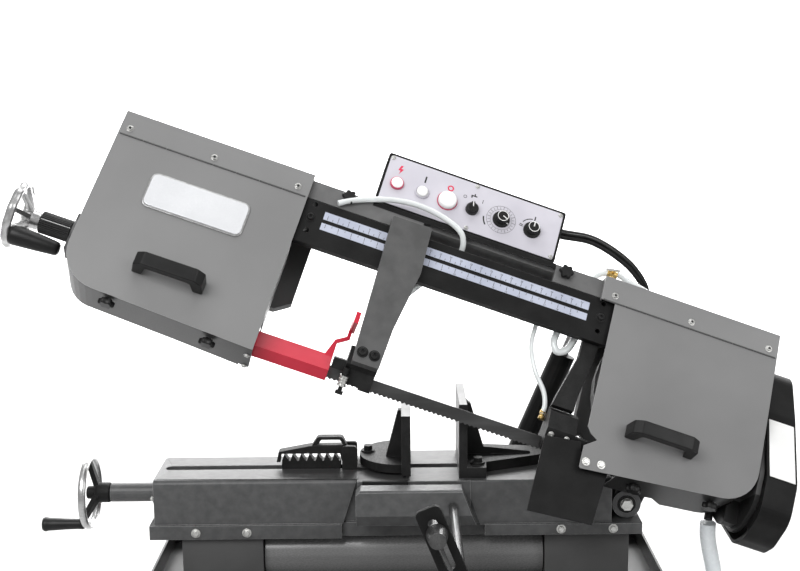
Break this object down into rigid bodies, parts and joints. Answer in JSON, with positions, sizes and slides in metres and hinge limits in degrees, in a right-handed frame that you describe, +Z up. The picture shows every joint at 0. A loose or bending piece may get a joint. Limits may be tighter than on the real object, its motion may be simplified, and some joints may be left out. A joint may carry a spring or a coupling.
{
  "type": "horizontal metal-cutting band saw",
  "caption": "Horizontal metal-cutting band saw on a cabinet stand, with a canted pivoting head, wheel covers, blade guides, screw vise, work stop and chip tray.",
  "frame": {"origin": "on the floor, under the middle of the overall box", "axes": "+Z up, +X towards the drive end of the saw, +Y away from the operator"},
  "size_m": [1.4926, 0.8113, 1.2879],
  "materials": {
    "cover_paint": "satin",
    "bed_paint": "hammered semi-gloss",
    "black_paint": "satin",
    "stand_paint": "gloss",
    "cast_black": "painted black",
    "ground_iron": "ground",
    "red_paint": "gloss",
    "bright_steel": "turned",
    "blade_steel": "blued",
    "chrome": "polished",
    "black_plastic": "satin",
    "white_plastic": "satin",
    "clear_hose": "clear vinyl",
    "cable": "satin"
  },
  "bodies": {
    "base": {"bed": "bed_paint", "stand": "stand_paint", "chip_tray": "stand_paint", "apron": "bed_paint", "stop_rod": "bright_steel", "pivot_shaft": "bright_steel", "drain_hose": "clear_hose"},
    "head": {"head_frame": "bed_paint", "left_hood": "cover_paint", "right_hood": "cover_paint", "guide_bar": "black_paint", "guide_arm_right": "cast_black", "guide_block_right": "cast_black", "chip_shield": "black_paint", "blade": "blade_steel", "tension_sleeve": "black_plastic", "gearbox": "cast_black", "motor": "black_paint", "belt_cover": "black_paint", "control_box": "black_paint", "coolant_hose_right": "clear_hose", "valve_loop_hose": "clear_hose", "coolant_hose_top": "clear_hose", "motor_cables": "cable"},
    "left_cover": {"left_door": "cover_paint", "left_handle": "black_plastic"},
    "right_cover": {"right_door": "cover_paint", "right_handle": "black_plastic"},
    "latch_lo": {"latch_left_outer": "black_plastic"},
    "latch_li": {"latch_left_inner": "black_plastic"},
    "latch_ri": {"latch_right_inner": "black_plastic"},
    "latch_ro": {"latch_right_outer": "black_plastic"},
    "left_guide": {"guide_arm_left": "cast_black", "guide_block_left": "cast_black", "blade_guard": "red_paint", "coolant_hose_left": "clear_hose"},
    "left_roller": {"guide_roller_left": "bright_steel"},
    "right_roller": {"guide_roller_right": "bright_steel"},
    "drive": {"drive_wheel": "ground_iron"},
    "carriage": {"idler_carriage": "cast_black"},
    "idler": {"idler_wheel": "ground_iron"},
    "tension_wheel": {"tension_handwheel": "chrome"},
    "tension_knob": {"tension_grip": "black_plastic"},
    "vise_wheel": {"vise_handwheel": "chrome"},
    "vise_knob": {"vise_grip": "black_plastic"},
    "vise_slider": {"jaw_carriage": "cast_black", "vise_rack": "ground_iron"},
    "lever": {"rack_lever": "cast_black"},
    "front_jaw": {"movable_jaw": "cast_black"},
    "back_jaw": {"fixed_jaw": "cast_black"},
    "start": {"start_button": "white_plastic"},
    "stop": {"stop_button": "white_plastic"},
    "coolant": {"coolant_switch": "black_plastic"},
    "speed": {"speed_dial": "black_plastic"},
    "feed": {"feed_dial": "black_plastic"},
    "collar": {"stop_collar": "black_paint"},
    "stop_plate": {"stop_arm": "black_paint"},
    "stop_bolt": {"stop_pin": "bright_steel"},
    "barrel": {"cylinder_barrel": "black_paint"},
    "rod": {"cylinder_rod": "chrome"}
  },
  "joints": [
    {"name": "head_pivot", "type": "hinge", "parent": "base", "child": "head", "pos_m": [0.3986, 0.16, 0.561], "axis": [0, 1, 0], "range_deg": [-19.7, 25], "deforming": ["drain_hose"]},
    {"name": "left_cover_hinge", "type": "hinge", "parent": "head", "child": "left_cover", "pos_m": [-0.3574, 0.16272, 1.18766], "axis": [-0.9415, 0, 0.3371], "range_deg": [0, 110]},
    {"name": "right_cover_hinge", "type": "hinge", "parent": "head", "child": "right_cover", "pos_m": [0.54076, 0.16272, 0.86607], "axis": [-0.9415, 0, 0.3371], "range_deg": [0, 110]},
    {"name": "latch_left_outer_turn", "type": "hinge", "parent": "left_cover", "child": "latch_lo", "pos_m": [-0.52665, -0.00381, 0.96416], "axis": [0.2761, 0.5736, 0.7712], "range_deg": [-180, 180]},
    {"name": "latch_left_inner_turn", "type": "hinge", "parent": "left_cover", "child": "latch_li", "pos_m": [-0.35528, -0.00305, 0.891], "axis": [0.2761, 0.5736, 0.7712], "range_deg": [-180, 180]},
    {"name": "latch_right_inner_turn", "type": "hinge", "parent": "right_cover", "child": "latch_ri", "pos_m": [0.39583, -0.00367, 0.61557], "axis": [0.2761, 0.5736, 0.7712], "range_deg": [-180, 180]},
    {"name": "latch_right_outer_turn", "type": "hinge", "parent": "right_cover", "child": "latch_ro", "pos_m": [0.53772, 0.01212, 0.57575], "axis": [0.2761, 0.5736, 0.7712], "range_deg": [-180, 180]},
    {"name": "left_guide_slide", "type": "slide", "parent": "head", "child": "left_guide", "axis": [0.9415, 0, -0.3371], "range_m": [-0.03, 0.155]},
    {"name": "blade_drive", "type": "hinge", "parent": "head", "child": "drive", "pos_m": [0.49157, 0.13746, 0.72871], "axis": [0.1934, -0.8192, 0.54], "continuous": true},
    {"name": "idler_spin", "type": "hinge", "parent": "carriage", "child": "idler", "pos_m": [-0.40659, 0.13746, 1.0503], "axis": [0.1934, -0.8192, 0.54], "continuous": true},
    {"name": "left_roller_spin", "type": "hinge", "parent": "left_guide", "child": "left_roller", "pos_m": [-0.12892, 0.0425, 0.84388], "axis": [0, 1, 0], "continuous": true},
    {"name": "right_roller_spin", "type": "hinge", "parent": "head", "child": "right_roller", "pos_m": [0.30416, 0.0425, 0.68882], "axis": [0, 1, 0], "continuous": true},
    {"name": "tension_turn", "type": "hinge", "parent": "head", "child": "tension_wheel", "pos_m": [-0.7183, 0.1531, 1.1023], "axis": [0.9415, 0, -0.3371], "range_deg": [0, 960]},
    {"name": "tension_slide", "type": "slide", "parent": "head", "child": "carriage", "axis": [0.9415, 0, -0.3371], "range_m": [0, 0.0082]},
    {"name": "tension_grip_spin", "type": "hinge", "parent": "tension_wheel", "child": "tension_knob", "pos_m": [-0.67671, 0.10337, 1.05826], "axis": [0.9415, 0, -0.3371], "continuous": true},
    {"name": "vise_turn", "type": "hinge", "parent": "base", "child": "vise_wheel", "pos_m": [-0.6014, 0.14, 0.5685], "axis": [1, 0, 0], "range_deg": [-11880, 4680]},
    {"name": "vise_slide", "type": "slide", "parent": "base", "child": "vise_slider", "axis": [1, 0, 0], "range_m": [-0.1985, 0.0785]},
    {"name": "vise_grip_spin", "type": "hinge", "parent": "vise_wheel", "child": "vise_knob", "pos_m": [-0.6614, 0.122, 0.5125], "axis": [1, 0, 0], "continuous": true},
    {"name": "rack_lever_lift", "type": "hinge", "parent": "vise_slider", "child": "lever", "pos_m": [-0.1174, 0.14, 0.635], "axis": [0, 1, 0], "range_deg": [0, 55]},
    {"name": "movable_jaw_swivel", "type": "hinge", "parent": "vise_slider", "child": "front_jaw", "pos_m": [-0.0214, 0.158, 0.625], "axis": [0, 0, 1], "range_deg": [-30, 0]},
    {"name": "fixed_jaw_swivel", "type": "hinge", "parent": "base", "child": "back_jaw", "pos_m": [0.1246, 0.092, 0.625], "axis": [0, 0, 1], "range_deg": [-30, 0]},
    {"name": "start_press", "type": "slide", "parent": "head", "child": "start", "axis": [-0.1934, 0.8192, -0.54], "range_m": [0, 0.004], "stiffness_N_per_m": 600, "springref_m": -0.002},
    {"name": "stop_press", "type": "slide", "parent": "head", "child": "stop", "axis": [-0.1934, 0.8192, -0.54], "range_m": [0, 0.004], "stiffness_N_per_m": 600, "springref_m": -0.002},
    {"name": "coolant_turn", "type": "hinge", "parent": "head", "child": "coolant", "pos_m": [0.12171, 0.25169, 1.08997], "axis": [0.1934, -0.8192, 0.54], "range_deg": [-45, 45]},
    {"name": "speed_turn", "type": "hinge", "parent": "head", "child": "speed", "pos_m": [0.1782, 0.25169, 1.06975], "axis": [0.1934, -0.8192, 0.54], "range_deg": [-140, 140]},
    {"name": "feed_turn", "type": "hinge", "parent": "head", "child": "feed", "pos_m": [0.23751, 0.25169, 1.04851], "axis": [0.1934, -0.8192, 0.54], "range_deg": [-140, 140]},
    {"name": "stop_collar_slide", "type": "slide", "parent": "base", "child": "collar", "axis": [0, 1, 0], "range_m": [0, 0.3]},
    {"name": "stop_arm_swing", "type": "hinge", "parent": "collar", "child": "stop_plate", "pos_m": [0.0746, -0.365, 0.584], "axis": [0, 1, 0], "range_deg": [-60, 60]},
    {"name": "stop_pin_slide", "type": "slide", "parent": "stop_plate", "child": "stop_bolt", "axis": [-0.3749, 0, 0.9271], "range_m": [-0.012, 0.014]},
    {"name": "cylinder_swing", "type": "hinge", "parent": "base", "child": "barrel", "pos_m": [0.2192, 0.296, 0.5817], "axis": [0, 1, 0], "range_deg": [-60, 60]},
    {"name": "cylinder_stroke", "type": "slide", "parent": "barrel", "child": "rod", "axis": [0.3896, 0, 0.921], "range_m": [-0.08, 0.1]}
  ],
  "couplings": [
    {"joint": "idler_spin", "follows": "blade_drive", "ratio": 1},
    {"joint": "left_roller_spin", "follows": "blade_drive", "ratio": -15.5},
    {"joint": "right_roller_spin", "follows": "blade_drive", "ratio": -15.5},
    {"joint": "tension_slide", "follows": "tension_turn", "m_per_rad": 0.00047746},
    {"joint": "vise_slide", "follows": "vise_turn", "m_per_rad": 0.00095493},
    {"joint": "cylinder_swing", "follows": "head_pivot", "ratio": 0.82268},
    {"joint": "cylinder_stroke", "follows": "head_pivot", "m_per_rad": 0.16867}
  ]
}
